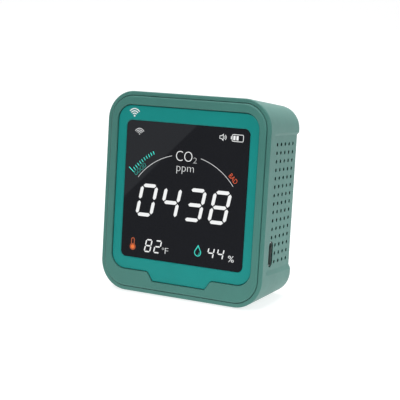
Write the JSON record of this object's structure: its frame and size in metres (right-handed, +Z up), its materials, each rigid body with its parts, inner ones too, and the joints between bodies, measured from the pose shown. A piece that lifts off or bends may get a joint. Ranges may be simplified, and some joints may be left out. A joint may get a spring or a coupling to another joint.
{
  "type": "desktop carbon dioxide monitor",
  "caption": "Square desktop air-quality monitor: a dark display in a coloured fascia and frame, a tapered case with side vents, a USB-C inlet and sprung push buttons on the back.",
  "frame": {"origin": "on the table, under the middle of the case's bounding box", "axes": "+Z up, the display faces -Y and leans back 5 degrees, the vents with the USB-C inlet are on +X"},
  "size_m": [0.0692, 0.036, 0.0766],
  "materials": {
    "case_plastic": "fine moulded grain, satin",
    "frame_plastic": "fine moulded grain, satin",
    "fascia_plastic": "smooth satin",
    "window_acrylic": "polished dark tint",
    "panel_glass": "dark polished",
    "guide_acrylic": "frosted white",
    "bracket_plastic": "plain black",
    "ribbon_film": "amber film",
    "board_laminate": "green solder mask",
    "chip_resin": "moulded resin",
    "shield_steel": "tinned",
    "socket_steel": "stamped, satin",
    "black_plastic": "plain black",
    "white_plastic": "natural nylon",
    "gilt_brass": "gold flash",
    "filter_membrane": "matt white membrane",
    "battery_foil": "foil pouch",
    "foam_rubber": "closed-cell foam",
    "lead_rubber": "soft wire sleeve",
    "cap_plastic": "satin",
    "screw_steel": "blackened",
    "mesh_fabric": "fine woven mesh",
    "foot_rubber": "matt black"
  },
  "bodies": {
    "case": {"rear_housing": "case_plastic", "front_frame": "frame_plastic", "teal_fascia": "fascia_plastic", "display_window": "window_acrylic", "lcd_panel": "panel_glass", "backlight_guide": "guide_acrylic", "display_bracket": "bracket_plastic", "display_flex": "ribbon_film", "main_board": "board_laminate", "board_chips": "chip_resin", "radio_board": "board_laminate", "radio_shield": "shield_steel", "sounder": "black_plastic", "usb_shell": "socket_steel", "usb_tongue": "black_plastic", "sensor_board": "board_laminate", "sensor_pins": "gilt_brass", "sensor_cell": "gilt_brass", "sensor_filter": "filter_membrane", "climate_board": "board_laminate", "climate_chip": "chip_resin", "battery": "battery_foil", "battery_pad": "foam_rubber", "battery_plug": "white_plastic", "battery_leads": "lead_rubber", "button_board": "board_laminate", "tact_switches": "black_plastic", "ribbon_sockets": "white_plastic", "button_ribbon": "ribbon_film", "case_screws": "screw_steel", "board_screws": "screw_steel", "button_board_screws": "screw_steel", "dust_mesh_right": "mesh_fabric", "dust_mesh_left": "mesh_fabric", "front_feet": "foot_rubber", "rear_feet": "foot_rubber"},
    "power_button": {"power_cap": "cap_plastic", "power_plunger": "white_plastic"},
    "alarm_button": {"alarm_cap": "cap_plastic", "alarm_plunger": "white_plastic"},
    "unit_button": {"unit_cap": "cap_plastic", "unit_plunger": "white_plastic"}
  },
  "joints": [
    {"name": "power_press", "type": "slide", "parent": "case", "child": "power_button", "axis": [0, -0.9962, 0.0872], "range_m": [0, 0.0004], "stiffness_N_per_m": 500, "springref_m": -0.0002},
    {"name": "alarm_press", "type": "slide", "parent": "case", "child": "alarm_button", "axis": [0, -0.9962, 0.0872], "range_m": [0, 0.0004], "stiffness_N_per_m": 500, "springref_m": -0.0002},
    {"name": "unit_press", "type": "slide", "parent": "case", "child": "unit_button", "axis": [0, -0.9962, 0.0872], "range_m": [0, 0.0004], "stiffness_N_per_m": 500, "springref_m": -0.0002}
  ]
}
